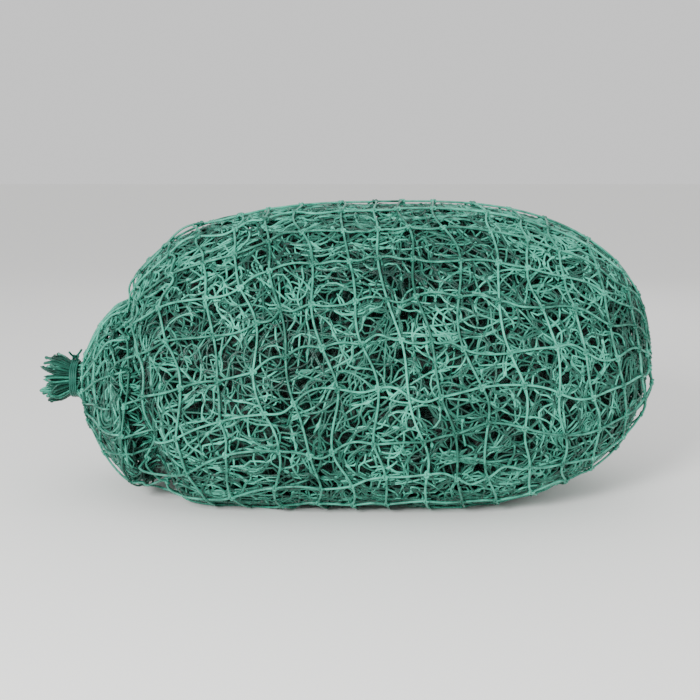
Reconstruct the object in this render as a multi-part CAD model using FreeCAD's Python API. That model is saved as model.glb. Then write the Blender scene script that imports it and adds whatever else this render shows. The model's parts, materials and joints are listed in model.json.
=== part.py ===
import FreeCAD, Part
import math
import os

# A knotted climbing net of braided twine, stowed as a tied bundle.
#
# The netting is drawn together into a thick hank and laid in six bights, one on another. The last few
# metres of the same netting are pulled tight round the bights as a wrap, a square net of hoops and
# lengthwise runs with a knot at every crossing. The wrap is gathered at one end into a mouth, which a
# lashing ties, and a short tuft of netting stands out beyond the lashing. The mouth is limp, so it
# swings about a crease between it and the packed body.
#
# Frame: +X from the tied mouth towards the round end, +Z up, the origin under the middle of the whole
# bundle, on the surface it lies on. Millimetres.
#
# The packed netting is modelled as soft solids with the outside shape of each bight. The wrap's twines
# are real twines, which bite half into the bights, because the packing bulges out through the meshes.

# ---- driving sizes ----
twine = 2.5  # diameter of the braided twine
mesh_bar = 45.0  # knot to knot along a tight twine
knot_diameter = 6.0
knot_length = 6.0  # along the hoop that it is tied round
body_length = 533.0  # crease to the round end
body_height = 320.0  # of the packing, inside the wrap
body_width = 366.0
mouth_length = 113.0  # crease to the middle of the lashing
tuft_length = 30.0  # the neck's end to the tuft's end
crown_from_end = 248.0  # the round end to the fullest section

# How the body narrows: 1 is a straight taper, 2 an ellipse, and more is squarer.
round_end_power = 2.3
mouth_side_power = 3.0
mouth_side_under_power = 7.0  # the underside stays flat nearly to the crease
mouth_side_spare = 45.0  # how far past the crease the body would close, if it had no mouth
end_patch_share = 0.995  # the round end stops here, in a small flat patch
even_steps = 6  # between the sections along the body's sides, and along the mouth
round_end_steps = 10

# The section's outline: a flat base, two round corners, two sides and a crown.
corner_share = 0.7  # the corners' radius, of half the section's height
crown_share = 0.875  # the crown's radius, of half the section's width

# The mouth: a soft cone that droops and turns a little to the back.
mouth_step = 3.0  # how much lower than the body the mouth is, all round the crease
mouth_taper_power = 1.55
neck_diameter = 40.0  # of the gathered netting, inside the lashing
neck_length = 14.0
neck_step = 1.0  # how much higher than the neck the mouth still is, where the neck starts
mouth_axis_height = 118.0  # of the neck
mouth_turn = 26.0  # how far the neck stands to the back
tuft_diameter = 66.0
tuft_steps = 3

# The crease, where the mouth swings on an upright core, which stands in a well in the four middle bights.
core_radius = 92.0
core_root_length = 25.0  # the core narrows to its root over this length, inside the mouth
core_root_width = 130.0
swing_gap = 1.5  # all round the core, and between the two sides of the crease
crease_half_angle = 7.5  # each side of the crease slopes this much, in degrees
crease_overlap = 10.0  # both outsides run on this far past the crease, before they are cut

# The packing and the wrap.
pressed_flat = 1.0  # how much of the base is lost where the bundle lies on it
bight_gap = 1.0
base_bight_thickness = 70.0
top_bight_thickness = 100.0  # the four middle bights share what is left
hoop_pitch = 38.0  # the hoops stand closer than a mesh bar, because the runs are slack
last_hoop_share = 0.985  # how far along the round end the last hoop stands
mouth_hoop_count = 3

# The lashing.
lashing_twine = 2.5
lashing_turns = 4
lashing_knot_diameter = 11.0
lashing_end_length = 14.0
lashing_end_lean = (0.2, 0.9, 0.4)  # the way each trimmed end points, and the other is opposite in x and y
lashing_bite = 0.5  # how deep the turns press into the neck, and the knot into the turns

# ---- derived places ----
total_length = body_length + mouth_length + neck_length / 2 + tuft_length
end_x = total_length / 2
crease_x = end_x - body_length
lashing_x = crease_x - mouth_length
neck_start_x = lashing_x + neck_length / 2
neck_radius = neck_diameter / 2
crown_x = end_x - crown_from_end
mouth_side_reach = crown_x - crease_x + mouth_side_spare
width_share = body_width / body_height
axis_height = body_height / 2
top_bight_base = body_height - top_bight_thickness
twine_radius = twine / 2


def taper(share, power):
    """The share of the full size that is left at this share of the way to the end."""
    return max(0.0, 1.0 - min(1.0, share) ** power) ** (1.0 / power)


def body_span(x):
    """(base height, half height) of the body at x."""
    if x >= crown_x:
        left = taper((x - crown_x) / crown_from_end, round_end_power)
        base, top = axis_height * (1 - left), axis_height * (1 + left)
    else:
        along = (crown_x - x) / mouth_side_reach
        base = axis_height * (1 - taper(along, mouth_side_under_power))
        top = axis_height * (1 + taper(along, mouth_side_power))
    return base, (top - base) / 2


def mouth_span(x):
    """(base height, half height, how far to the back) of the mouth at x. It goes on full into the body."""
    share = max(0.0, min(1.0, (crease_x - x) / (crease_x - neck_start_x)))
    crease_base, crease_half = body_span(crease_x)
    last = neck_radius + neck_step
    half = last + (crease_half - mouth_step - last) * (1 - share**mouth_taper_power)
    droop = crease_base + crease_half - mouth_axis_height
    centre = mouth_axis_height + droop * (1 - share) ** 2
    return centre - half, half, mouth_turn * share**2


def outline(x, base, half, back=0.0):
    """The outline of a section: a base, corners, sides and a crown, which are tangent arcs."""
    wide, corner = half * width_share, half * corner_share
    crown = wide * crown_share
    rise = 2 * half - corner
    side = (wide**2 + rise**2 - 2 * rise * crown) / (2 * (wide - crown))
    flat = wide - corner
    side_centre = (wide - side, corner)
    crown_centre = (0.0, corner + rise - crown)
    lean = math.atan2(crown_centre[1] - side_centre[1], crown_centre[0] - side_centre[0])

    def at(centre, radius, angle, hand):
        y = centre[0] + radius * math.cos(angle)
        return FreeCAD.Vector(x, back + hand * y, base + centre[1] + radius * math.sin(angle))

    def arc(centre, radius, start, stop, hand):
        points = [at(centre, radius, start + (stop - start) * k / 2, hand) for k in range(3)]
        if hand < 0:
            points.reverse()
        return Part.Arc(*points).toShape()

    right = math.pi / 2
    half_edges = []
    for hand in (1, -1):
        half_edges.append(
            [
                arc((flat, corner), corner, -right, 0.0, hand),
                arc(side_centre, side, 0.0, lean, hand),
                arc(crown_centre, crown, lean, right, hand),
            ]
        )
    floor = Part.LineSegment(
        FreeCAD.Vector(x, back - flat, base), FreeCAD.Vector(x, back + flat, base)
    ).toShape()
    return Part.Wire([floor] + half_edges[0] + half_edges[1][::-1])


def body_envelope():
    """The packed body's outside, from the crease to the round end."""
    start_x = crease_x - crease_overlap
    xs = [start_x + (crown_x - start_x) * step / even_steps for step in range(even_steps)]
    reach = crown_from_end * end_patch_share
    for step in range(round_end_steps + 1):
        xs.append(crown_x + reach * math.sin(math.pi / 2 * step / round_end_steps))
    wires = []
    for x in xs:
        base, half = body_span(x)
        wires.append(outline(x, base - pressed_flat, half + pressed_flat / 2))
    return Part.makeLoft(wires, True, False)


def mouth_envelope():
    """The gathered mouth's outside, from the crease to the neck."""
    xs = [crease_x + crease_overlap]
    for step in range(even_steps + 1):
        xs.append(crease_x + (neck_start_x - crease_x) * step / even_steps)
    return Part.makeLoft([outline(x, *mouth_span(x)) for x in xs], True, False)


def box(low, high):
    size = [b - a for a, b in zip(low, high)]
    return Part.makeBox(*size, FreeCAD.Vector(*low))


def beyond_crease(side):
    """The room on one side of the crease: +1 the body's, -1 the mouth's. Each slopes away from it."""
    reach = 2 * body_width
    slope = reach * math.tan(math.radians(crease_half_angle))
    tip = crease_x + side * swing_gap / 2
    far = crease_x + side * 4 * reach
    edge = tip + side * slope
    plan = [(tip, 0), (edge, reach), (far, reach), (far, -reach), (edge, -reach), (tip, 0)]
    outline_wire = Part.makePolygon([FreeCAD.Vector(px, py, -body_height) for px, py in plan])
    return Part.Face(outline_wire).extrude(FreeCAD.Vector(0, 0, 3 * body_height))


def make_core():
    """The round core that the mouth swings on, as deep as the middle bights, with its root in the mouth."""
    spare = swing_gap - bight_gap / 2
    low = base_bight_thickness + spare

    def at(along, across):
        return FreeCAD.Vector(crease_x + along, across, low)

    front, back = at(0, -core_radius), at(0, core_radius)
    root = [at(-core_root_length, core_root_width / 2), at(-core_root_length, -core_root_width / 2)]
    arc = Part.Arc(front, at(core_radius, 0), back).toShape()
    sides = Part.makePolygon([back] + root + [front])
    plan = Part.Face(Part.Wire([arc] + sides.Edges))
    return plan.extrude(FreeCAD.Vector(0, 0, top_bight_base - spare - low))


def make_bights():
    """Six bights of netting: one at the base, two pairs beside each other, and one on top."""
    packed = body_envelope().common(beyond_crease(1))
    well = Part.makeCylinder(core_radius + swing_gap, body_height, FreeCAD.Vector(crease_x, 0, 0))
    far, gap = 2 * total_length, bight_gap / 2
    low_z, high_z = base_bight_thickness, top_bight_base
    mid_z = (low_z + high_z) / 2
    rooms = {
        "bight_low_front": ((-far, -far, low_z + gap), (far, -gap, mid_z - gap)),
        "bight_low_back": ((-far, gap, low_z + gap), (far, far, mid_z - gap)),
        "bight_high_front": ((-far, -far, mid_z + gap), (far, -gap, high_z - gap)),
        "bight_high_back": ((-far, gap, mid_z + gap), (far, far, high_z - gap)),
    }
    bights = {name: packed.common(box(low, high)).cut(well) for name, (low, high) in rooms.items()}
    bights["bight_base"] = packed.common(box((-far, -far, 0), (far, far, low_z - gap)))
    bights["bight_top"] = packed.common(box((-far, -far, high_z + gap), (far, far, far)))
    return bights


def make_mouth_gather():
    """The gathered netting of the mouth, with the core that it swings on and the neck."""
    neck = Part.makeCylinder(
        neck_radius, neck_length + twine, neck_centre(-0.5), FreeCAD.Vector(1, 0, 0)
    )
    return mouth_envelope().common(beyond_crease(-1)).fuse([make_core(), neck])


def bar(start, end):
    """One mesh bar, a twine from inside one knot to inside the next."""
    run = end - start
    inset = FreeCAD.Vector(run).normalize() * twine_radius
    return Part.makeCylinder(twine_radius, run.Length - twine, start + inset, run)


def knot(before, at, after):
    """The knot at a crossing, a drum round the hoop. One under the base stands on the surface there."""
    along = (after - before).normalize() * knot_length
    start = at - along / 2
    start.z += max(0.0, knot_diameter / 2 - min(start.z, (start + along).z))
    return Part.makeCylinder(knot_diameter / 2, knot_length, start, along)


def hoop(x, base, half, back=0.0):
    """(the twine tight round the bundle at x, its path). It stands on the section's base line."""
    path = outline(x, base + twine_radius, half, back)
    start = path.Edges[0].Vertexes[0].Point
    ring = Part.Wire(Part.makeCircle(twine_radius, start, FreeCAD.Vector(0, 1, 0)))
    return path.makePipeShell([ring], True, False), path


def net(first, last, spaces, span):
    """(hoops, runs, knots) with this many spaces from the first hoop to the last."""
    stations = [first + (last - first) * k / spaces for k in range(spaces + 1)]
    wound = [hoop(x, *span(x)) for x in stations]
    around = 4 * round(max(path.Length for ring, path in wound) / mesh_bar / 4)
    runs, knots, last_corners = [], [], []
    for ring, path in wound:
        corners = path.discretize(Number=around + 1)[:around]
        knots += [knot(corners[k - 1], corners[k], corners[(k + 1) % around]) for k in range(around)]
        runs += [bar(start, end) for start, end in zip(last_corners, corners)]
        last_corners = corners
    return [ring for ring, path in wound], runs, knots


def make_wrap():
    first = crease_x + hoop_pitch
    last = crown_x + crown_from_end * last_hoop_share
    return net(first, last, round((last - first) / hoop_pitch), body_span)


def make_mouth_wrap():
    return net(crease_x - hoop_pitch, neck_start_x + knot_diameter, mouth_hoop_count - 1, mouth_span)


def neck_centre(along):
    """A point on the neck's axis, this share of its length from its middle, towards the body."""
    base, half, back = mouth_span(lashing_x)
    return FreeCAD.Vector(lashing_x + along * neck_length, back, base + half)


def make_tuft():
    """The gathered edge of the netting beyond the lashing, which fans out."""
    centre = neck_centre(-0.5)
    flare = tuft_diameter / 2 - neck_radius
    wires = []
    for step in range(tuft_steps + 1):
        along = step / tuft_steps
        middle = centre - FreeCAD.Vector(along * tuft_length, 0, 0)
        radius = neck_radius + along**2 * (3 - 2 * along) * flare
        wires.append(Part.Wire(Part.makeCircle(radius, middle, FreeCAD.Vector(1, 0, 0))))
    return Part.makeLoft(wires, True, False)


def make_lashing():
    """(turns, knot) of the twine that ties the mouth. The knot's two ends are trimmed short."""
    centre = neck_centre(0)
    radius = neck_radius + lashing_twine / 2 - lashing_bite
    turns = []
    for k in range(lashing_turns):
        middle = centre + FreeCAD.Vector((k + 0.5 - lashing_turns / 2) * lashing_twine, 0, 0)
        turns.append(Part.makeTorus(radius, lashing_twine / 2, middle, FreeCAD.Vector(1, 0, 0)))
    above = radius + (lashing_twine + lashing_knot_diameter) / 2 - lashing_bite
    at = centre + FreeCAD.Vector(0, 0, above)
    tied = Part.makeSphere(lashing_knot_diameter / 2, at)
    for hand in (1, -1):
        lean_x, lean_y, lean_z = lashing_end_lean
        out = FreeCAD.Vector(lean_x * hand, lean_y * hand, lean_z)
        tied = tied.fuse(Part.makeCylinder(lashing_twine / 2, lashing_end_length, at, out))
    return turns, tied


def main():
    nodes = dict(make_bights())
    nodes["mouth_gather"] = make_mouth_gather()
    nodes["mouth_tuft"] = make_tuft()
    for prefix, made in (("wrap", make_wrap()), ("mouth", make_mouth_wrap())):
        for kind, solids in zip(("hoops", "runs", "knots"), made):
            nodes[f"{prefix}_{kind}"] = Part.makeCompound(solids)
    turns, tied = make_lashing()
    nodes["lashing_turns"] = Part.makeCompound(turns)
    nodes["lashing_knot"] = tied
    os.makedirs("parts", exist_ok=True)
    for name, shape in nodes.items():
        box_now = shape.BoundBox
        print(
            f"{name}: {len(shape.Solids)} solids, valid {shape.isValid()}, {shape.Volume / 1000:.1f} cm3, "
            f"x {box_now.XMin:.1f} to {box_now.XMax:.1f}, y {box_now.YMin:.1f} to {box_now.YMax:.1f}, "
            f"z {box_now.ZMin:.1f} to {box_now.ZMax:.1f}"
        )
        shape.exportStep(f"parts/{name}.step")


main()
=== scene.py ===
import json
import math

import bmesh
import bpy
import numpy as np
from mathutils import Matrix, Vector
from mathutils.bvhtree import BVHTree


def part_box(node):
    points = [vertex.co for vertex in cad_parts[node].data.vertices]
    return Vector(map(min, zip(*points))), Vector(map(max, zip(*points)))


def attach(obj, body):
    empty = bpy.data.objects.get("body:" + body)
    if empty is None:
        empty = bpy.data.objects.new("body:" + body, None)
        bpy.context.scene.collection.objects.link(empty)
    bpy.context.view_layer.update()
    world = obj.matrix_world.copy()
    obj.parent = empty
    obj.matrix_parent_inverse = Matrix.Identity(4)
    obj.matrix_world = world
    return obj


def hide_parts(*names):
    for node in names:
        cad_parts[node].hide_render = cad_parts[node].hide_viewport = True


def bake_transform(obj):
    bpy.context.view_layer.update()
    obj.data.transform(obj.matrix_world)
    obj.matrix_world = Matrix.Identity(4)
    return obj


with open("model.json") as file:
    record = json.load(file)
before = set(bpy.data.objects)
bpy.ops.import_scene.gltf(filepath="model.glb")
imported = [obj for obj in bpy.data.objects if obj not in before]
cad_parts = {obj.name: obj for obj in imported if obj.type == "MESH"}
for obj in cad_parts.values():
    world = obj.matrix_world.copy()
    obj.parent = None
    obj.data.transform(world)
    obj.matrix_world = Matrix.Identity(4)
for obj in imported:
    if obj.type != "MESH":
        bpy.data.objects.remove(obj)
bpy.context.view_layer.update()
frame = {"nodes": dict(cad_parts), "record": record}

# ==== The pressed middle of the hank ====
# The netting goes on inwards, fold on fold, pressed too close to tell its twines apart. Between the outer
# twines it shows only as deep shade, so this mass is painted near black as painted shade. It is one soft
# mass, and the mouth bends off it at the crease.
mm = 0.001
bights = ["base", "low_front", "low_back", "high_front", "high_back", "top"]
joint = frame["record"]["behaviour"]["joints"][0]
crease_x, crease_y, crease_z = joint["pos_m"]

hank_skin = bmesh.new()
for node in ["bight_" + bight for bight in bights] + ["mouth_gather"]:
    hank_skin.from_mesh(frame["nodes"][node].data)
bmesh.ops.remove_doubles(hank_skin, verts=hank_skin.verts, dist=0.1 * mm)

# The crease of the plain solids is filled up first, because the furrow below takes its place.
filled_on_mouth = 66 * mm
filled_on_body = 60 * mm
filling = bmesh.new()
for vert in hank_skin.verts:
    if -filled_on_mouth < vert.co.x - crease_x < filled_on_body:
        filling.verts.new(vert.co)
hull = bmesh.ops.convex_hull(filling, input=filling.verts)
spare = {item for item in hull["geom_interior"] + hull["geom_unused"] if isinstance(item, bmesh.types.BMVert)}
bmesh.ops.delete(filling, geom=list(spare), context="VERTS")
filling_mesh = bpy.data.meshes.new("crease_filling")
filling.to_mesh(filling_mesh)
filling.free()
hank_skin.from_mesh(filling_mesh)
hank_mesh = bpy.data.meshes.new("hank_skin")
hank_skin.to_mesh(hank_mesh)
hank_skin.free()
hank = bpy.data.objects.new("hank_skin", hank_mesh)
bpy.context.scene.collection.objects.link(hank)
one_skin = hank.modifiers.new("one_skin", "REMESH")
one_skin.mode = "VOXEL"
one_skin.voxel_size = 6 * mm
soften = hank.modifiers.new("soften", "SMOOTH")
soften.factor = 0.5
soften.iterations = 12
skin = bpy.data.meshes.new_from_object(hank.evaluated_get(bpy.context.evaluated_depsgraph_get()))
bpy.data.objects.remove(hank)

# The distance to the hank's skin, on a grid: below nought inside it.
skin_cell = 8 * mm
skin_room = 24 * mm
skin_points = np.array([vert.co for vert in skin.vertices])
skin_low = (skin_points.min(0) - skin_room).astype(np.float32)
cells = np.ceil((skin_points.max(0) + skin_room - skin_low) / skin_cell).astype(int) + 1
marks = [low + skin_cell * np.arange(count) for low, count in zip(skin_low, cells)]
corners = np.stack(np.meshgrid(*marks, indexing="ij"), -1)
skin_tree = bmesh.new()
skin_tree.from_mesh(skin)
skin_lookup = BVHTree.FromBMesh(skin_tree)
distance = np.empty(cells.prod(), np.float32)
for k, corner in enumerate(corners.reshape(-1, 3)):
    corner = Vector(corner)
    nearest, outwards, face, apart = skin_lookup.find_nearest(corner)
    distance[k] = apart if (corner - nearest).dot(outwards) > 0 else -apart
distance = distance.reshape(cells)
skin_tree.free()

# The crease is a furrow that leans towards the mouth. It is deepest low down, and fades out over the
# top and on the underside.
furrow_depth = 30 * mm
furrow_width = 15 * mm
furrow_foot = -181 * mm
furrow_lean = -0.23
furrow_top = 260 * mm
furrow_underside = 35 * mm
heights = corners[..., 2]
furrow_x = furrow_foot + furrow_lean * heights
furrow_fade = np.clip(1.25 - heights / furrow_top, 0, 1) * np.clip(heights / furrow_underside, 0.15, 1)
furrow = np.exp(-(((corners[..., 0] - furrow_x) / furrow_width) ** 2)).astype(np.float32)
distance += furrow_depth * furrow_fade * furrow
skin_slope = np.stack(np.gradient(distance, skin_cell), -1)
skin_table = np.concatenate([distance[..., None], skin_slope], -1).astype(np.float32)


def skin_distance(points):
    """How far points are outside the hank's skin, and the way outwards."""
    at = np.clip((points - skin_low) / skin_cell, 0, cells - 1.001)
    cell = at.astype(np.int32)
    part = (at - cell).astype(np.float32)
    table = skin_table.reshape(-1, 4)
    first = (cell[..., 0] * cells[1] + cell[..., 1]) * cells[2] + cell[..., 2]
    found = 0
    for dx, dy, dz in np.ndindex(2, 2, 2):
        share = np.abs(1 - dx - part[..., 0]) * np.abs(1 - dy - part[..., 1]) * np.abs(1 - dz - part[..., 2])
        found = found + table[first + (dx * cells[1] + dy) * cells[2] + dz] * share[..., None]
    return found[..., 0], found[..., 1:]


def linear(colour):
    """An sRGB hex colour, as a shader's linear colour."""
    parts = [int(colour[k : k + 2], 16) / 255 for k in (1, 3, 5)]
    return [p / 12.92 if p <= 0.04045 else ((p + 0.055) / 1.055) ** 2.4 for p in parts] + [1.0]


def add(tree, kind, inputs={}, **settings):
    """Adds a node to a tree, with its settings, and its inputs as values or as other nodes' sockets."""
    node = tree.nodes.new(kind)
    for name, value in settings.items():
        setattr(node, name, value)
    for name, value in inputs.items():
        if isinstance(value, bpy.types.NodeSocket):
            tree.links.new(value, node.inputs[name])
        else:
            node.inputs[name].default_value = value
    return node


# Polyethylene twine in deep shade: the same green plastic, darkened near to black with painted shade, with
# faint strands that cross about 10 mm apart and wander from their lines over about 36 mm.
strands_a_metre = 95.0
wanders_a_metre = 28.0
shade = bpy.data.materials.new("twine_in_deep_shade")
shade.use_nodes = True
shade_tree = shade.node_tree
shade_tree.nodes.clear()
place = add(shade_tree, "ShaderNodeTexCoord").outputs["Object"]
wander = add(shade_tree, "ShaderNodeTexNoise", {"Vector": place, "Scale": wanders_a_metre, "Detail": 2.0})
bent_inputs = {0: 0.06, 1: place, 2: wander.outputs["Color"]}
bent = add(shade_tree, "ShaderNodeMixRGB", bent_inputs, blend_type="ADD").outputs[0]
strand_inputs = {"Vector": bent, "Scale": strands_a_metre}
strands = add(shade_tree, "ShaderNodeTexVoronoi", strand_inputs, feature="DISTANCE_TO_EDGE")
strands = strands.outputs["Distance"]
lines = add(shade_tree, "ShaderNodeValToRGB", {"Fac": strands})
lines.color_ramp.elements[0].color = linear("#3a6457")
lines.color_ramp.elements[1].color = linear("#07100d")
lines.color_ramp.elements[1].position = 0.16
bump_inputs = {"Height": strands, "Strength": 0.7, "Distance": 3 * mm}
raised = add(shade_tree, "ShaderNodeBump", bump_inputs, invert=True).outputs[0]
plastic_inputs = {"Base Color": lines.outputs[0], "Roughness": 0.7, "Normal": raised}
plastic = add(shade_tree, "ShaderNodeBsdfPrincipled", plastic_inputs)
add(shade_tree, "ShaderNodeOutputMaterial", {"Surface": plastic.outputs[0]})

# The mass keeps this far under the skin, and its folds make soft lumps in it.
middle_depth = 28 * mm
lump_height = 7 * mm
lump_length = 45 * mm
lump_waves = 12
lumps = np.random.default_rng(11)
points = np.array([vert.co for vert in skin.vertices], np.float32)
ripple = np.zeros(len(points), np.float32)
for lump in range(lump_waves):
    way = lumps.standard_normal(3)
    ripple += np.sin(points @ (way / np.linalg.norm(way) * 2 * math.pi / lump_length) + lumps.uniform(0, 6))
for step in range(6):
    away, outwards = skin_distance(points)
    points -= outwards * (away + middle_depth - lump_height * ripple / lump_waves**0.5)[:, None] * 0.5
skin.vertices.foreach_set("co", points.ravel())
skin.name = "pressed_middle"
middle = bpy.data.objects.new("pressed_middle", skin)
bpy.context.scene.collection.objects.link(middle)
skin.materials.append(shade)
skin.shade_smooth()
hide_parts("mouth_gather")
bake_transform(middle)

# ==== The crumpled netting ====
# Knotted square-mesh netting of braided polyethylene twine, pushed together by hand until every mesh
# is a loose curl. Its twines keep their real length, and it fills a few centimetres under the wrap.
mesh_bar = 45 * mm
twine_radius = 1.25 * mm
links = 5  # to each mesh bar
round_count = 96
long_count = 98
netting_depth = 42 * mm
crumple = np.random.default_rng(7)

# The hank's middle line is level, and droops and turns a little to the back towards the neck.
axis_height = 150 * mm
neck_start = -190 * mm
neck_reach = 107 * mm
neck_turn = 0.026
neck_drop = 32 * mm


def hank_axis(x):
    """Points on the hank's middle line, and how far along the mouth they are."""
    to_neck = np.clip((neck_start - x) / neck_reach, 0, 1)
    return np.stack([x, neck_turn * to_neck**2, axis_height - neck_drop * to_neck], -1), to_neck


# Rows are laid square to the middle line, and over the last part of the way they fan out round its end.
laid_from, laid_to = -0.288, 0.165
level_share = 0.72
end_fan = math.radians(88)


def lay_netting(turn, along, depth):
    """Places on the hank: turn goes round from underneath, along from the neck to the round end's tip."""
    level = np.clip(along / level_share, 0, 1)
    tilt = np.clip((along - level_share) / (1 - level_share), 0, 1) * end_fan
    centre = hank_axis(laid_from + (laid_to - laid_from) * level)[0]
    angle = 2 * math.pi * turn
    way = np.stack([np.sin(tilt), -np.sin(angle) * np.cos(tilt), -np.cos(angle) * np.cos(tilt)], -1)
    far = np.full(centre.shape[:-1], 10 * mm)
    for step in range(24):
        away = skin_distance(centre + way * far[..., None])[0]
        far += np.clip(-away - depth, -30 * mm, 30 * mm) * 0.9
    return (centre + way * np.maximum(far, 2 * mm)[..., None]).astype(np.float32)


# The share of the way along that each crosswise twine starts from, so that the netting is even.
tries = np.linspace(0, 1, 161)
around = np.linspace(0, 1, 33)
grid = lay_netting(*np.meshgrid(around, tries), 15 * mm)
girth = np.linalg.norm(np.diff(grid, axis=1), axis=-1).sum(1)
climb = np.linalg.norm(np.diff(grid, axis=0), axis=-1).mean(1)
covered = np.concatenate([[0], np.cumsum(climb * (girth[1:] + girth[:-1]) / 2)])
alongs = np.interp((np.arange(long_count) + 0.5) / long_count * covered[-1], covered, tries)


def hold_length(chain, rest):
    """Brings each link of the chains back to its length."""
    last = chain.shape[1] - 1
    rest = np.broadcast_to(rest, (chain.shape[0], last))[..., None]
    for first in (0, 1):
        a, b = chain[:, first:last:2], chain[:, first + 1 :: 2]
        run = b - a
        run *= 0.5 * (1 - rest[:, first::2] / (np.sqrt((run * run).sum(-1, keepdims=True)) + 1e-9))
        a += run
        b -= run


def tie_knots(lengthwise, crosswise, links, ring=False):
    """Brings the two twines of each knot together, and in a ring also the first and the last row."""
    knots = 0.5 * (lengthwise[:, ::links] + crosswise[:, ::links].transpose(1, 0, 2))
    if ring:
        knots[0] = knots[-1] = 0.5 * (knots[0] + knots[-1])
    lengthwise[:, ::links] = knots
    crosswise[:, ::links] = knots.transpose(1, 0, 2)


def straighten(chain, share):
    """Moves each point this share of the way to the middle between its neighbours."""
    chain[:, 1:-1] += share * (0.5 * (chain[:, :-2] + chain[:, 2:]) - chain[:, 1:-1])


def keep_under(chain, top, depth):
    """Keeps the chains between a height over the skin and a depth under it, and off the floor."""
    away, outwards = skin_distance(chain)
    chain -= outwards * np.maximum(away - top, 0)[..., None]
    chain += outwards * (0.5 * np.maximum(-away - depth, 0))[..., None]
    chain[..., 2] = np.maximum(chain[..., 2], 1.5 * mm)


def even_out(chains, push, size):
    """Moves twine from crowded places towards empty ones, in cells of this size."""
    points = np.concatenate([chain.reshape(-1, 3) for chain in chains])
    counts = np.ceil(cells * skin_cell / size).astype(int) + 1
    cell = np.clip(((points - skin_low) / size).astype(np.int32), 0, counts - 2)
    index = (cell[:, 0] * counts[1] + cell[:, 1]) * counts[2] + cell[:, 2]
    crowd = np.bincount(index, minlength=counts.prod()).astype(np.float32).reshape(counts)
    for axis in range(3):
        crowd = (np.roll(crowd, 1, axis) + 2 * crowd + np.roll(crowd, -1, axis)) / 4
    away = -np.stack(np.gradient(crowd), -1).reshape(-1, 3)[index]
    away *= push / crowd[crowd > 0.5].mean()
    away *= np.minimum(1, push / (np.linalg.norm(away, axis=-1, keepdims=True) + 1e-12))
    start = 0
    for chain in chains:
        count = chain.shape[0] * chain.shape[1]
        chain += away[start : start + count].reshape(chain.shape)
        start += count


def soft_noise(shape, reach, channels):
    """Noise that changes over this many knots, with a mean change of 1 from knot to knot."""
    spare = int(4 * reach) + 1
    noise = crumple.standard_normal((shape[0] + 2 * spare, shape[1] + 2 * spare, channels))
    weight = np.exp(-0.5 * (np.arange(-spare, spare + 1) / reach) ** 2)
    weight = weight / weight.sum()
    for axis in (0, 1):
        noise = np.apply_along_axis(lambda line: np.convolve(line, weight, "same"), axis, noise)
    noise = noise[spare:-spare, spare:-spare]
    change = 0.5 * ((np.diff(noise, axis=0) ** 2).mean() + (np.diff(noise, axis=1) ** 2).mean())
    return noise / change**0.5


def link_up(knots, links):
    """(lengthwise, crosswise) chains of links through a grid of knots."""
    share = (np.arange(links) / links)[None, None, :, None]
    chains = []
    for rows in (knots, knots.transpose(1, 0, 2)):
        chain = (rows[:, :-1, None] * (1 - share) + rows[:, 1:, None] * share).reshape(len(rows), -1, 3)
        chains.append(np.concatenate([chain, rows[:, -1:]], 1))
    return chains


def pull_tight(times):
    """Brings every link of the netting to its length and every knot together, this many times."""
    for time in range(times):
        hold_length(lengthwise, mesh_bar / links)
        hold_length(crosswise, mesh_bar / links)
        tie_knots(lengthwise, crosswise, links)


# The netting is laid flat, rumpled, and then left to settle. It spreads out evenly while it settles,
# and after that only its stiffness, its knots and the wrap over it still move it.
steps = 190
settling = 120
slack_bend, stiff_bend = 0.25, 0.45
turns, shares = np.meshgrid((np.arange(round_count) + 0.5) / round_count, alongs, indexing="ij")
knots = lay_netting(turns, shares, 20 * mm)
knots += soft_noise(knots.shape[:2], 1.5, 3) * mesh_bar * 0.5
lengthwise, crosswise = (chain.astype(np.float32) for chain in link_up(knots, links))
for chain in (lengthwise, crosswise):
    chain += crumple.standard_normal(chain.shape).astype(np.float32) * 2 * mm
for step in range(steps):
    if step < settling and step % 2 == 0:
        even_out((lengthwise, crosswise), 3 * mm, 11 * mm)
    if step < settling and step % 4 == 1:
        even_out((lengthwise, crosswise), 2.5 * mm, 30 * mm)
    for chain in (lengthwise, crosswise):
        straighten(chain, slack_bend if step < settling else stiff_bend)
    pull_tight(3)
    for chain in (lengthwise, crosswise):
        keep_under(chain, -2 * mm, netting_depth)
pull_tight(10)


def draw_twine(chain, places, links):
    """Smooth points at these places of each bar of the chains, and how far each is from its knot."""
    bars = (chain.shape[1] - 1) // links
    at = (np.arange(bars)[:, None] + places[None]).ravel()
    at = np.append(at, bars) * links
    first = np.clip(at.astype(int), 0, chain.shape[1] - 2)
    t = (at - first).astype(np.float32)[None, :, None]
    last = chain.shape[1] - 1
    p0, p1, p2, p3 = (chain[:, np.clip(first + k, 0, last)] for k in (-1, 0, 1, 2))
    bent = p1 + 0.5 * t * (p2 - p0 + t * (2 * p0 - 5 * p1 + 4 * p2 - p3 + t * (3 * (p1 - p2) + p3 - p0)))
    near = np.abs(at / links - np.round(at / links))
    return bent, near


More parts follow.
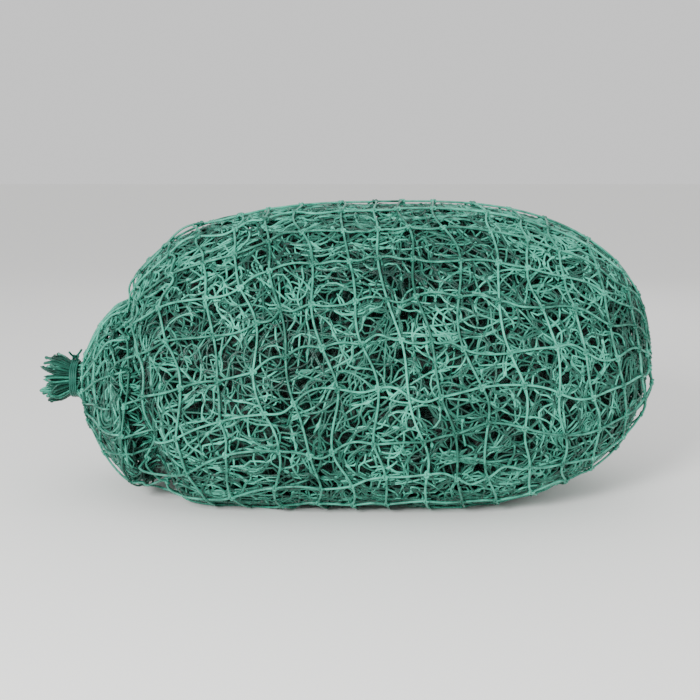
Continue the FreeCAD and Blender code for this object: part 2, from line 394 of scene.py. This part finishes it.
# A round twine swept along each line of edges. Each point of a line says how thick it is there. Its
# UVMap holds the length along the twine in metres and the share of the way round it.
twine_tree = bpy.data.node_groups.new("twine", "GeometryNodeTree")
for name, kind in (("Geometry", "Geometry"), ("Radius", "Float"), ("Sides", "Int"), ("Finish", "Material")):
    twine_tree.interface.new_socket(name, in_out="INPUT", socket_type="NodeSocket" + kind)
twine_tree.interface.new_socket("Geometry", in_out="OUTPUT", socket_type="NodeSocketGeometry")
given = add(twine_tree, "NodeGroupInput").outputs
line = add(twine_tree, "GeometryNodeMeshToCurve", {"Mesh": given["Geometry"]})
length = add(twine_tree, "GeometryNodeSplineParameter").outputs["Length"]
run = add(twine_tree, "GeometryNodeCaptureAttribute", {"Geometry": line.outputs[0]}, domain="POINT")
run.capture_items.new("FLOAT", "Length")
twine_tree.links.new(length, run.inputs["Length"])
ring = add(twine_tree, "GeometryNodeCurvePrimitiveCircle", {"Resolution": given["Sides"], "Radius": 1.0})
share = add(twine_tree, "GeometryNodeSplineParameter").outputs["Factor"]
side = add(twine_tree, "GeometryNodeCaptureAttribute", {"Geometry": ring.outputs[0]}, domain="POINT")
side.capture_items.new("FLOAT", "Share")
twine_tree.links.new(share, side.inputs["Share"])
thick = add(twine_tree, "GeometryNodeInputNamedAttribute", {"Name": "thick"}, data_type="FLOAT")
radius = add(twine_tree, "ShaderNodeMath", {0: thick.outputs[0], 1: given["Radius"]}, operation="MULTIPLY")
swept = add(
    twine_tree,
    "GeometryNodeCurveToMesh",
    {
        "Curve": run.outputs[0],
        "Profile Curve": side.outputs[0],
        "Scale": radius.outputs[0],
        "Fill Caps": True,
    },
)
# The face that closes the ring has its far side brought on by a whole turn.
face_share = add(
    twine_tree, "GeometryNodeFieldOnDomain", {0: side.outputs["Share"]}, domain="FACE", data_type="FLOAT"
)
lag_inputs = {0: face_share.outputs[0], 1: side.outputs["Share"]}
lag = add(twine_tree, "ShaderNodeMath", lag_inputs, operation="SUBTRACT")
closing = add(twine_tree, "ShaderNodeMath", {0: lag.outputs[0], 1: 0.3}, operation="GREATER_THAN")
about_inputs = {0: side.outputs["Share"], 1: closing.outputs[0]}
about = add(twine_tree, "ShaderNodeMath", about_inputs, operation="ADD")
flat = add(twine_tree, "ShaderNodeCombineXYZ", {"X": run.outputs["Length"], "Y": about.outputs[0]})
mapped = add(
    twine_tree,
    "GeometryNodeStoreNamedAttribute",
    {"Geometry": swept.outputs[0], "Name": "UVMap", "Value": flat.outputs[0]},
    data_type="FLOAT2",
    domain="CORNER",
)
smooth = add(twine_tree, "GeometryNodeSetShadeSmooth", {"Geometry": mapped.outputs[0]})
real = add(twine_tree, "GeometryNodeRealizeInstances", {"Geometry": smooth.outputs[0]})
finish_inputs = {"Geometry": real.outputs[0], "Material": given["Finish"]}
finished = add(twine_tree, "GeometryNodeSetMaterial", finish_inputs)
add(twine_tree, "NodeGroupOutput", {"Geometry": finished.outputs[0]})


def grow(name, mesh, tree, values):
    """A plain mesh object, which is what a tree of geometry nodes makes of this mesh."""
    seed = bpy.data.objects.new(name, mesh)
    bpy.context.scene.collection.objects.link(seed)
    grown = seed.modifiers.new(tree.name, "NODES")
    grown.node_group = tree
    for item in tree.interface.items_tree:
        if item.in_out == "INPUT" and item.name in values:
            grown[item.identifier] = values[item.name]
    made = bpy.data.meshes.new_from_object(seed.evaluated_get(bpy.context.evaluated_depsgraph_get()))
    seed.modifiers.clear()
    seed.data = made
    made.name = name
    bpy.data.meshes.remove(mesh)
    return seed


def twines(name, lines, thicks, tints, radius, sides, finish):
    """One object of the twines that follow these lines of points."""
    sizes = [len(line) for line in lines]
    starts = np.cumsum([0] + sizes[:-1])
    edges = [start + np.stack([np.arange(n - 1), np.arange(1, n)], 1) for start, n in zip(starts, sizes)]
    edges = np.concatenate(edges)
    mesh = bpy.data.meshes.new(name + "_lines")
    mesh.vertices.add(sum(sizes))
    mesh.vertices.foreach_set("co", np.concatenate(lines).astype(np.float32).ravel())
    mesh.edges.add(len(edges))
    mesh.edges.foreach_set("vertices", edges.astype(np.int32).ravel())
    for attribute, value in (("thick", thicks), ("tint", tints)):
        value = np.concatenate([np.broadcast_to(v, n) for v, n in zip(value, sizes)])
        value = value.astype(np.float32)
        mesh.attributes.new(attribute, "FLOAT", "POINT").data.foreach_set("value", value)
    return grow(name, mesh, twine_tree, {"Radius": radius, "Sides": sides, "Finish": finish})


# Braided polyethylene twine: an extruded plastic, so a waxy green with soft highlights. Sun and
# handling have faded some twines more than others, in patches of about 70 mm with flecks of about
# 8 mm. The braid has eight strands, four each way round, and they cross every 2.6 mm.
braid_pitch = 2.6 * mm
braid_strands = 4.0
braid_relief = 0.12 * mm
patches_a_metre = 14.0
flecks_a_metre = 120.0


def twine_finish(name, faded, fresh, deep):
    """The netting's twine, between a faded, a fresh and a deep green, which is painted shade deep in the
    hank.
    """
    made = bpy.data.materials.new(name)
    made.use_nodes = True
    tree = made.node_tree
    tree.nodes.clear()
    place = add(tree, "ShaderNodeTexCoord").outputs["Object"]
    tint = add(tree, "ShaderNodeAttribute", attribute_name="tint").outputs["Fac"]
    patch_inputs = {"Vector": place, "Scale": patches_a_metre, "Detail": 3.0}
    patches = add(tree, "ShaderNodeTexNoise", patch_inputs).outputs["Fac"]
    fleck_inputs = {"Vector": place, "Scale": flecks_a_metre, "Detail": 2.0}
    flecks = add(tree, "ShaderNodeTexNoise", fleck_inputs).outputs["Fac"]
    both = add(tree, "ShaderNodeMath", {0: tint, 1: patches}, operation="ADD").outputs[0]
    total = add(tree, "ShaderNodeMath", {0: both, 1: flecks}, operation="ADD").outputs[0]
    fading_and_shade = add(tree, "ShaderNodeMath", {0: total, 1: 3.0}, operation="DIVIDE").outputs[0]
    green = add(tree, "ShaderNodeValToRGB", {"Fac": fading_and_shade})
    green.color_ramp.elements[0].color = linear(deep)
    green.color_ramp.elements[0].position = 0.28
    green.color_ramp.elements[1].color = linear(faded)
    green.color_ramp.elements[1].position = 0.76
    green.color_ramp.elements.new(0.52).color = linear(fresh)
    twine_map = add(tree, "ShaderNodeUVMap", uv_map="UVMap").outputs[0]
    way = add(tree, "ShaderNodeSeparateXYZ", {0: twine_map}).outputs
    along_inputs = {0: way["X"], 1: 2 * math.pi / braid_pitch}
    along = add(tree, "ShaderNodeMath", along_inputs, operation="MULTIPLY").outputs[0]
    round_inputs = {0: way["Y"], 1: 2 * math.pi * braid_strands}
    round_it = add(tree, "ShaderNodeMath", round_inputs, operation="MULTIPLY").outputs[0]
    ridges = []
    for operation in ("ADD", "SUBTRACT"):
        angle = add(tree, "ShaderNodeMath", {0: round_it, 1: along}, operation=operation).outputs[0]
        ridges.append(add(tree, "ShaderNodeMath", {0: angle}, operation="SINE").outputs[0])
    braid = add(tree, "ShaderNodeMath", {0: ridges[0], 1: ridges[1]}, operation="MAXIMUM").outputs[0]
    bump_inputs = {"Height": braid, "Strength": 0.5, "Distance": braid_relief}
    plastic_inputs = {
        "Base Color": green.outputs[0],
        "Roughness": 0.4,
        "IOR": 1.5,
        "Specular IOR Level": 0.28,
        "Normal": add(tree, "ShaderNodeBump", bump_inputs).outputs[0],
    }
    plastic = add(tree, "ShaderNodeBsdfPrincipled", plastic_inputs)
    add(tree, "ShaderNodeOutputMaterial", {"Surface": plastic.outputs[0]})
    return made


netting_twine = twine_finish("braided_polyethylene_twine", "#4fb79c", "#215e4e", "#102f28")
shade_depth = 26 * mm  # twines this deep are painted in their darkest green, as painted shade


def fading_and_shade_of(lines):
    """How faded the netting is at each point, by the twine, less a painted shade that grows the deeper it
    lies.
    """
    deep = np.clip(-skin_distance(lines)[0] / shade_depth - 0.15, 0, 1)
    return crumple.uniform(0, 1, (len(lines), 1)) - 1.1 * deep


# The outline of a twine is drawn round these places of each bar, closer together at the knot, where
# the lengthwise twine swells into the knot's lump.
bar_places = np.array([0.0, 0.08, 0.24, 0.41, 0.59, 0.76, 0.92])
knot_swell = 2.2
netting_radius = 1.12 * mm
round_order = ["base", "low_front", "high_front", "top", "high_back", "low_back"]
rows_each = round_count // len(round_order)
long_lines, near = draw_twine(lengthwise, bar_places, links)
long_thick = np.where(near < 0.01, knot_swell, 1.0)
cross_lines = draw_twine(crosswise, bar_places, links)[0]
long_tints, cross_tints = fading_and_shade_of(long_lines), fading_and_shade_of(cross_lines)
for sector, bight in enumerate(round_order):
    rows = slice(sector * rows_each, (sector + 1) * rows_each)
    stretch = slice(rows.start * len(bar_places), min(rows.stop, round_count - 1) * len(bar_places) + 1)
    both_ways = {
        "lengthwise": (long_lines[rows], [long_thick] * rows_each, long_tints[rows]),
        "crosswise": (cross_lines[:, stretch], [1.0] * long_count, cross_tints[:, stretch]),
    }
    for part, (lines, thicks, tints) in both_ways.items():
        name = f"netting_{bight}_{part}"
        piece = twines(name, lines, thicks, tints, netting_radius, 5, netting_twine)
        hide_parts("bight_" + bight)
        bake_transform(piece)

# ==== The fold with an eye ====
# Low on the mouth one fold of the same netting turns back on itself. Its twines lie curled round one
# another in an eye, and their ends dip back into the netting.
curls = 8
eye = np.array([-0.243, 0.0, 0.104], np.float32)
for step in range(30):
    eye[1] += skin_distance(eye)[0] * 0.8
outwards = skin_distance(eye)[1]
outwards /= np.linalg.norm(outwards)
across = np.cross(outwards, (0, 0, 1))
across /= np.linalg.norm(across)
upwards = np.cross(across, outwards)
fine_steps = 3  # of a smooth line, to each stretch between two given points


def smooth_line(points):
    """A smooth line of points through these few."""
    return draw_twine(np.array(points, np.float32)[None], np.arange(fine_steps) / fine_steps, 1)[0][0]


lines = []
for curl in range(curls):
    size = (3.5 + 3.0 * curl + crumple.uniform(-0.8, 0.8)) * mm
    sweep = crumple.uniform(2.4, 4.6)
    lowest = math.radians(270) + crumple.uniform(-0.9, 0.9)
    bend = lowest + np.linspace(-sweep / 2, sweep / 2, 7 + curl)
    oval = 0.10 * np.sin(2 * bend + crumple.uniform(0, 6))
    reach = size * (1 + oval + 0.05 * np.sin(3 * bend + crumple.uniform(0, 6)))
    aside = crumple.normal(0, 1.6 * mm, 2)
    line = eye + np.outer(np.cos(bend) * reach * 1.15 + aside[0], across)
    line = line + np.outer(np.sin(bend) * reach + aside[1], upwards)
    lift = crumple.uniform(-1.5, 1.6) * mm
    for step in range(4):
        away, outwards = skin_distance(line)
        line = line - outwards * (away - lift)[:, None]
    dip = np.abs(np.linspace(-1, 1, len(line))) ** 4 * crumple.uniform(6, 12) * mm
    lines.append(smooth_line(line - outwards * dip[:, None]))
tints = crumple.uniform(0.3, 1, curls)
eye_fold = twines("netting_eye_fold", lines, [1.0] * curls, tints, twine_radius, 7, netting_twine)
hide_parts("mouth_gather")
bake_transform(eye_fold)

# ==== The outer net ====
# The last stretch of the same netting, pulled tight round the bundle as a square net. Its hoops go
# round and lean back a little. Its lengthwise runs have slack and bow between the tied knots.
knots_round = 24
body_hoops = 14
wrap_links = 6
wrap_height = 1.8 * mm
first_hoop, last_hoop = -152 * mm, 320 * mm
mouth_hoops = [-0.286, -0.261, -0.229, -0.191]
closing_tilts = np.radians([60, 74, 85])  # of the hoops that close the round end
closing_x = 220 * mm
hoop_lean = math.tan(math.radians(11))
wrapping = np.random.default_rng(5)
hoop_xs = np.concatenate(
    [mouth_hoops, np.linspace(first_hoop, last_hoop, body_hoops), np.full(len(closing_tilts), closing_x)]
)
hoop_tilts = np.concatenate([np.zeros(len(mouth_hoops) + body_hoops), closing_tilts])
bars = len(hoop_xs) - 1
turns = np.arange(knots_round + 1) / knots_round * 2 * math.pi
turns, places = np.meshgrid(turns, hoop_xs, indexing="ij")

# The net was wound on a little askew, so its runs veer round the hank towards both ends.
veer_from, veer_reach = 100 * mm, 220 * mm
most_veer = 0.06
veer_places = np.where(hoop_tilts > 0, last_hoop, places)
turns = turns - 2 * math.pi * np.minimum(0.03 * ((veer_places - veer_from) / veer_reach) ** 2, most_veer)
centre, to_neck = hank_axis(places)
upright_from, upright_reach = 360 * mm, 120 * mm  # the hoops stand up straight towards the round end
lean = hoop_lean * (1 - to_neck) * np.clip((upright_from - places) / upright_reach, 0, 1) * (hoop_tilts == 0)
flat = np.cos(hoop_tilts)
way = [lean * np.cos(turns) + np.sin(hoop_tilts), -np.sin(turns) * flat, -np.cos(turns) * flat]
way = np.stack(way, -1)
far = np.full(turns.shape, 10 * mm)
for step in range(30):
    away = skin_distance(centre + way * far[..., None])[0]
    far += np.clip(wrap_height - away, -20 * mm, 20 * mm) * 0.8
knots = (centre + way * far[..., None]).astype(np.float32)
runs, hoops = (chain.astype(np.float32) for chain in link_up(knots, wrap_links))

# The hoops are tight and the runs have some slack, but no stretch is longer than a mesh bar.
girths = np.linalg.norm(np.diff(knots, axis=0), axis=-1).sum(0)
hoop_rest = (np.minimum(girths * 1.035 / knots_round, mesh_bar) / wrap_links)[:, None].astype(np.float32)
pitches = np.linalg.norm(np.diff(knots, axis=1), axis=-1)
slack = 1.01 + 0.24 * wrapping.uniform(0, 1, pitches.shape) ** 2
run_rest = np.repeat(np.minimum(pitches * slack, mesh_bar) / wrap_links, wrap_links, axis=1)
run_rest = run_rest.astype(np.float32)
runs += wrapping.standard_normal(runs.shape).astype(np.float32) * 2.5 * mm
hoops += wrapping.standard_normal(hoops.shape).astype(np.float32) * 1.0 * mm
bow = wrapping.standard_normal((knots_round + 1, bars, 3)).astype(np.float32) * 6 * mm
arch = np.tile(np.sin(np.arange(wrap_links) / wrap_links * math.pi), bars)
runs[:, :-1] += (np.repeat(bow, wrap_links, axis=1) * arch[None, :, None]).astype(np.float32)
for step in range(90):
    straighten(runs, 0.2)
    straighten(hoops, 0.3)
    for time in range(4):
        hold_length(runs, run_rest)
        hold_length(hoops, hoop_rest)
        tie_knots(runs, hoops, wrap_links, ring=True)
    for chain in (runs, hoops):
        keep_under(chain, wrap_height, 0)

# The slack of a run bows to either side of its straight line, as the net was last pulled.
straight = link_up(runs[:, ::wrap_links], wrap_links)[0][:, :-1]
side = wrapping.choice([-1.0, 1.0], (len(runs), bars)) * wrapping.uniform(0.6, 1.15, (len(runs), bars))
runs[:, :-1] = straight + (runs[:, :-1] - straight) * np.repeat(side, wrap_links, axis=1)[..., None]
straighten(runs, 0.3)
hoops[:, ::wrap_links] = runs[:, ::wrap_links].transpose(1, 0, 2)
straighten(hoops, 0.2)
runs[:, ::wrap_links] = hoops[:, ::wrap_links].transpose(1, 0, 2)

# The pull of each knot on its neighbours leaves the whole net a little wavy.
for swell in range(14):
    way = wrapping.standard_normal(3)
    way *= 2 * math.pi / (wrapping.uniform(70, 160) * mm) / np.linalg.norm(way)
    shift = wrapping.standard_normal(3) * 1.6 * mm
    phase = wrapping.uniform(0, 2 * math.pi)
    for chain in (runs, hoops):
        chain += (np.sin(chain @ way + phase)[..., None] * shift).astype(np.float32)
for chain in (runs, hoops):
    away, outwards = skin_distance(chain)
    chain -= outwards * (away - wrap_height)[..., None]
    chain[..., 2] = np.maximum(chain[..., 2], 1.3 * mm)

# A few meshes stand off the bundle, where the net was let go: over the crease, low on the mouth and at
# the round end. Each has its place, how far it stands off and how wide.
loose_meshes = [
    ((-0.163, -0.045, 0.290), 13 * mm, 22 * mm),
    ((-0.262, -0.105, 0.045), 12 * mm, 24 * mm),
    ((0.315, -0.06, 0.12), 7 * mm, 26 * mm),
]
for loose_at, lift, spread in loose_meshes:
    for chain in (runs, hoops):
        near = np.exp(-((chain - np.array(loose_at, np.float32)) ** 2).sum(-1) / spread**2)
        chain += skin_distance(chain)[1] * (lift * near)[..., None]

wrap_places = np.arange(12) / 12
wrap_radius = 1.2 * mm
for name, chain, nodes in (
    ("outer_net_hoops", hoops, ("wrap_hoops", "mouth_hoops")),
    ("outer_net_runs", runs[:-1], ("wrap_runs", "mouth_runs")),
):
    lines = draw_twine(chain, wrap_places, wrap_links)[0]
    tints = wrapping.uniform(0.55, 1.0, len(lines))
    piece = twines(name, lines, [1.0] * len(lines), tints, wrap_radius, 8, netting_twine)
    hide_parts(*nodes)
    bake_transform(piece)

# Each crossing is a tied knot: the hoop's twine is looped round the run's and pulled into a lump. The
# loop is a trefoil, and Loop is its size.
knot_tree = bpy.data.node_groups.new("tied_knot", "GeometryNodeTree")
knot_sockets = {
    "Geometry": "Geometry",
    "Loop": "Float",
    "Radius": "Float",
    "Seed": "Int",
    "Finish": "Material",
}
for name, kind in knot_sockets.items():
    knot_tree.interface.new_socket(name, in_out="INPUT", socket_type="NodeSocket" + kind)
knot_tree.interface.new_socket("Geometry", in_out="OUTPUT", socket_type="NodeSocketGeometry")
given = add(knot_tree, "NodeGroupInput").outputs
ring = add(knot_tree, "GeometryNodeCurvePrimitiveCircle", {"Resolution": 26, "Radius": 1.0})
share = add(knot_tree, "GeometryNodeSplineParameter").outputs["Factor"]


def wave(times, size, shape):
    """size x sine or cosine of this many turns along the knot's line."""
    angle = add(knot_tree, "ShaderNodeMath", {0: share, 1: times * 2 * math.pi}, operation="MULTIPLY")
    value = add(knot_tree, "ShaderNodeMath", {0: angle.outputs[0]}, operation=shape)
    return add(knot_tree, "ShaderNodeMath", {0: value.outputs[0], 1: size}, operation="MULTIPLY").outputs[0]


loop_x = add(knot_tree, "ShaderNodeMath", {0: wave(1, 1.0, "SINE"), 1: wave(2, 2.0, "SINE")}, operation="ADD")
loop_y_inputs = {0: wave(1, 0.9, "COSINE"), 1: wave(2, -1.8, "COSINE")}
loop_y = add(knot_tree, "ShaderNodeMath", loop_y_inputs, operation="ADD")
looped_inputs = {"X": loop_x.outputs[0], "Y": loop_y.outputs[0], "Z": wave(3, -1.2, "SINE")}
looped = add(knot_tree, "ShaderNodeCombineXYZ", looped_inputs)
scaled_inputs = {0: looped.outputs[0], "Scale": given["Loop"]}
scaled = add(knot_tree, "ShaderNodeVectorMath", scaled_inputs, operation="SCALE")
line = add(knot_tree, "GeometryNodeSetPosition", {"Geometry": ring.outputs[0], "Position": scaled.outputs[0]})
section = add(knot_tree, "GeometryNodeCurvePrimitiveCircle", {"Resolution": 6, "Radius": given["Radius"]})
lump_inputs = {"Curve": line.outputs[0], "Profile Curve": section.outputs[0]}
lump = add(knot_tree, "GeometryNodeCurveToMesh", lump_inputs)
outward = add(knot_tree, "GeometryNodeInputNamedAttribute", {"Name": "out"}, data_type="FLOAT_VECTOR")
along = add(knot_tree, "GeometryNodeInputNamedAttribute", {"Name": "along"}, data_type="FLOAT_VECTOR")
upright = add(knot_tree, "FunctionNodeAlignRotationToVector", {"Vector": outward.outputs[0]}, axis="Z")
turned = add(
    knot_tree,
    "FunctionNodeAlignRotationToVector",
    {"Rotation": upright.outputs[0], "Vector": along.outputs[0]},
    axis="X",
    pivot_axis="Z",
)
size_inputs = {"Min": (0.86, 0.86, 0.86), "Max": (1.2, 1.2, 1.15), "Seed": given["Seed"]}
sizes = add(knot_tree, "FunctionNodeRandomValue", size_inputs, data_type="FLOAT_VECTOR")
placed = add(
    knot_tree,
    "GeometryNodeInstanceOnPoints",
    {
        "Points": given["Geometry"],
        "Instance": lump.outputs[0],
        "Rotation": turned.outputs[0],
        "Scale": sizes.outputs[0],
    },
)
smooth = add(knot_tree, "GeometryNodeSetShadeSmooth", {"Geometry": placed.outputs[0]})
real = add(knot_tree, "GeometryNodeRealizeInstances", {"Geometry": smooth.outputs[0]})
finish_inputs = {"Geometry": real.outputs[0], "Material": given["Finish"]}
finished = add(knot_tree, "GeometryNodeSetMaterial", finish_inputs)
add(knot_tree, "NodeGroupOutput", {"Geometry": finished.outputs[0]})
knot_twine_radius = 1.15 * mm


def tied_knots(name, points, outs, alongs, tints, loop, finish):
    """One object of knots at these points, which face outwards and lie along the hoops."""
    mesh = bpy.data.meshes.new(name + "_places")
    mesh.vertices.add(len(points))
    mesh.vertices.foreach_set("co", points.astype(np.float32).ravel())
    for attribute, value in (("out", outs), ("along", alongs)):
        value = value.astype(np.float32).ravel()
        mesh.attributes.new(attribute, "FLOAT_VECTOR", "POINT").data.foreach_set("vector", value)
    mesh.attributes.new("tint", "FLOAT", "POINT").data.foreach_set("value", tints.astype(np.float32))
    values = {"Loop": loop, "Radius": knot_twine_radius, "Seed": 3, "Finish": finish}
    return grow(name, mesh, knot_tree, values)


knot_rest = 3.2 * mm  # no knot is lower than this, because the floor holds it up
tied = hoops[:, :-1:wrap_links].reshape(-1, 3)
tied[:, 2] = np.maximum(tied[:, 2], knot_rest)
ahead = (hoops[:, 1::wrap_links] - hoops[:, :-1:wrap_links]).reshape(-1, 3)
outs = skin_distance(tied)[1]
tints = wrapping.uniform(0.5, 1, len(tied))
net_knots = tied_knots("outer_net_knots", tied, outs, ahead, tints, 1.1 * mm, netting_twine)
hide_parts("wrap_knots", "mouth_knots")
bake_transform(net_knots)

# ==== The gathered neck and the tuft ====
# The net's edge is gathered by hand into the neck. Its twines run side by side through the lashing,
# then fan out and turn back in loops, because the edge's meshes are closed by their knots.
neck_low, neck_high = (np.array(corner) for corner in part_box("lashing_turns"))
neck_x, neck_y, neck_z = (neck_low + neck_high) / 2
neck_radius = 20 * mm
neck_half = 8 * mm
gather_length = 44 * mm
gather_steps = 6
gather_power = 1.3
mouth_y, mouth_z = 20 * mm, 120 * mm  # the middle of the mouth, next to the neck
tuft_low, tuft_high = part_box("mouth_tuft")
tuft_radius = (tuft_high[2] - tuft_low[2]) / 2
tuft_length = tuft_low[0] - (neck_x - neck_half)
loops = 62
edge_knot_swell = 1.9
gather = np.random.default_rng(17)
lines, thicks, tints = [], [], []
for k in range(loops):
    share = ((k + 0.5) / loops) ** 0.5
    angle = k * math.pi * (3 - 5**0.5)
    in_neck = neck_radius * 0.92 * share
    flare = in_neck + (tuft_radius * 0.93 * share - in_neck) * 0.55 + 2 * mm
    reach = gather.uniform(0.45, 1.0) * tuft_length * (1.12 - 0.25 * share)
    halves = []
    for hand in (-1, 1):
        own = angle + hand * gather.uniform(0.05, 0.16)
        side = np.array([math.cos(own), math.sin(own)])
        wander = gather.standard_normal((gather_steps, 2)) * 3.5 * mm
        half = []
        for step, along in enumerate(np.linspace(0, 1, gather_steps)):
            x = neck_x + neck_half + (1 - along) * gather_length
            inside = -skin_distance(np.array([[x, mouth_y, mouth_z]]))[0][0]
            mouth_radius = max(neck_radius, inside * 1.02)
            open_share = (1 - along) ** gather_power
            wide = mouth_radius * (0.72 + 0.26 * share) * open_share + in_neck * (1 - open_share)
            spot = side * wide + wander[step] * (1 - along)
            droop = np.array([-4 * mm, 12 * mm]) * (1 - along)
            half.append((x, neck_y + spot[0] + droop[0], neck_z + spot[1] + droop[1]))
        for x in (neck_x + 4 * mm, neck_x, neck_x - 4 * mm):
            half.append((x, neck_y + side[0] * in_neck, neck_z + side[1] * in_neck))
        half.append((neck_x - neck_half + reach * 0.5, neck_y + side[0] * flare, neck_z + side[1] * flare))
        halves.append(half)
    tip_radius = 0.9 * tuft_radius * (0.25 + 0.75 * share)
    tip_angle = angle + gather.uniform(-0.3, 0.3)
    tip_y = neck_y + math.cos(tip_angle) * tip_radius
    tip_z = neck_z + math.sin(tip_angle) * tip_radius
    tip = (neck_x - neck_half + reach, tip_y, tip_z)
    line = smooth_line(halves[0] + [tip] + halves[1][::-1])
    thick = np.ones(len(line))
    thick[len(halves[0]) * fine_steps] = edge_knot_swell
    lines.append(line)
    thicks.append(thick)
    tints.append(gather.uniform(0.1, 1.0))
tuft = twines("gathered_neck_and_tuft", lines, thicks, tints, twine_radius, 7, netting_twine)
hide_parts("mouth_tuft")
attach(tuft, "mouth")

# ==== The lashing ====
# A length of the same make of twine, wound four times round the neck, pulled tight and knotted on top.
# Its two ends are trimmed short.
lashing_turns = 4
turn_points = 20
lashing_radius = (neck_high[2] - neck_low[2]) / 2 - twine_radius
lashing_width = 8.6 * mm
tie_z = neck_z + lashing_radius + 5.5 * mm
tying = np.random.default_rng(23)
turns_line = []
for k in range(lashing_turns * turn_points + 1):
    angle = 2 * math.pi * k / turn_points
    pull = lashing_radius + tying.uniform(-0.25, 0.25) * mm
    wound = k / (lashing_turns * turn_points) - 0.5
    x = neck_x + wound * lashing_width + tying.uniform(-0.2, 0.2) * mm
    turns_line.append((x, neck_y + math.sin(angle) * pull, neck_z + math.cos(angle) * pull))
first_end = [
    (neck_x + 4 * mm, neck_y + 13 * mm, tie_z + 5 * mm),
    (neck_x + 2 * mm, neck_y + 6 * mm, tie_z + 1 * mm),
]
last_end = [
    (neck_x - 2 * mm, neck_y - 6 * mm, tie_z + 1 * mm),
    (neck_x - 4 * mm, neck_y - 12 * mm, tie_z + 6 * mm),
]
lashing_twine = twine_finish("tight_polyethylene_lashing", "#49a890", "#206354", "#10362d")
lashing_line = smooth_line(first_end + turns_line + last_end)
lashing = twines("lashing", [lashing_line], [1.0], [0.4], twine_radius, 10, lashing_twine)
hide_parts("lashing_turns")
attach(lashing, "mouth")
tie_at = np.array([[neck_x, neck_y, tie_z - 1 * mm]])
up, across = np.array([[0.0, 0.0, 1.0]]), np.array([[0.0, 1.0, 0.0]])
lashing_tie = tied_knots("lashing_tie", tie_at, up, across, np.array([0.5]), 1.35 * mm, lashing_twine)
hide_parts("lashing_knot")
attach(lashing_tie, "mouth")

# ==== The floor, the light and the camera ====
# A plain pale floor in matt paint, and soft studio light from all sides. The key light stands in front
# and to the left, and weaker ones fill in from the right and from behind.
floor_half = 40
floor_corners = [(x * floor_half, y * floor_half, 0) for x, y in ((-1, -1), (1, -1), (1, 1), (-1, 1))]
floor_mesh = bpy.data.meshes.new("floor")
floor_mesh.from_pydata(floor_corners, [], [(0, 1, 2, 3)])
floor = bpy.data.objects.new("floor", floor_mesh)
bpy.context.scene.collection.objects.link(floor)
paint = bpy.data.materials.new("white_studio_floor")
paint.use_nodes = True
paint.node_tree.nodes["Principled BSDF"].inputs["Base Color"].default_value = linear("#f6f6f4")
paint.node_tree.nodes["Principled BSDF"].inputs["Roughness"].default_value = 0.9
floor_mesh.materials.append(paint)
world = bpy.data.worlds.new("studio")
bpy.context.scene.world = world
world.use_nodes = True
world.node_tree.nodes["Background"].inputs["Color"].default_value = (1, 1, 1, 1)
world.node_tree.nodes["Background"].inputs["Strength"].default_value = 0.92
look_at = Vector((0.012, 0.0, 0.155))
lamps = {
    "key": ((-0.9, -2.0, 1.05), 76, 0.55),
    "fill": ((1.7, -1.0, 0.7), 12, 1.2),
    "back": ((0.4, 1.8, 1.4), 6, 1.4),
}
for name, (lamp_at, power, size) in lamps.items():
    lamp = bpy.data.lights.new(name, "AREA")
    lamp.energy = power
    lamp.size = size
    light = bpy.data.objects.new(name, lamp)
    light.location = lamp_at
    light.rotation_euler = (look_at - Vector(lamp_at)).to_track_quat("-Z", "Y").to_euler()
    bpy.context.scene.collection.objects.link(light)
camera_distance = 1.25
camera_rise = math.radians(9)
seen_width = 0.79
film_width = 36
lens = bpy.data.cameras.new("camera")
lens.lens = film_width * camera_distance / seen_width
camera = bpy.data.objects.new("camera", lens)
camera.location = look_at + Vector((0, -math.cos(camera_rise), math.sin(camera_rise))) * camera_distance
camera.rotation_euler = (look_at - camera.location).to_track_quat("-Z", "Y").to_euler()
bpy.context.scene.collection.objects.link(camera)
bpy.context.scene.camera = camera
